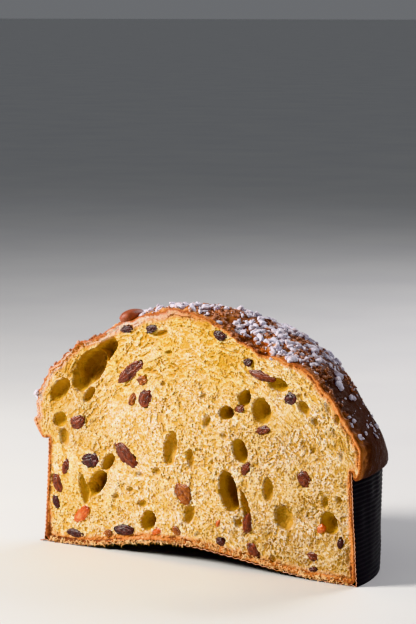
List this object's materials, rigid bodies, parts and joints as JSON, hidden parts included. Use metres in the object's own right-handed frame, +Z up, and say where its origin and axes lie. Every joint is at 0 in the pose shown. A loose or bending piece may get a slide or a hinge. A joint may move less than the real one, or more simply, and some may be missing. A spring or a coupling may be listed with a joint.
{
  "type": "half panettone",
  "caption": "Half of a domed sweet loaf cut open, with raisins, candied peel, an almond and pearl sugar, standing in its low round paper case.",
  "frame": {"origin": "on the table, under the middle of the half loaf's outer box", "axes": "+Z up; the upright cut face looks along -Y; +X to the right when facing the cut"},
  "size_m": [0.2132, 0.1077, 0.1407],
  "materials": {
    "bread": "golden yellow open crumb on the cut, browned craggy crust with white pearl sugar outside",
    "case_paper": "dark finely ribbed baking paper, pinkish brown where it is cut",
    "raisin_skin": "dark wrinkled dried fruit, slightly glossy",
    "candied_peel": "orange candied peel, sticky gloss",
    "almond_skin": "reddish brown almond skin"
  },
  "bodies": {
    "root": {"loaf": "bread", "paper_case": "case_paper", "almond": "almond_skin", "raisin_01": "raisin_skin", "raisin_02": "raisin_skin", "raisin_03": "raisin_skin", "raisin_04": "raisin_skin", "raisin_05": "raisin_skin", "raisin_06": "raisin_skin", "raisin_07": "raisin_skin", "raisin_08": "raisin_skin", "raisin_09": "raisin_skin", "raisin_10": "raisin_skin", "raisin_11": "raisin_skin", "raisin_12": "raisin_skin", "raisin_13": "raisin_skin", "raisin_14": "raisin_skin", "raisin_15": "raisin_skin", "raisin_16": "raisin_skin", "raisin_17": "raisin_skin", "raisin_18": "raisin_skin", "raisin_19": "raisin_skin", "raisin_20": "raisin_skin", "raisin_21": "raisin_skin", "raisin_22": "raisin_skin", "raisin_23": "raisin_skin", "raisin_24": "raisin_skin", "raisin_25": "raisin_skin", "raisin_26": "raisin_skin", "raisin_27": "raisin_skin", "raisin_28": "raisin_skin", "raisin_29": "raisin_skin", "raisin_30": "raisin_skin", "raisin_31": "raisin_skin", "peel_01": "candied_peel", "peel_02": "candied_peel", "peel_03": "candied_peel", "peel_04": "candied_peel"}
  },
  "joints": []
}
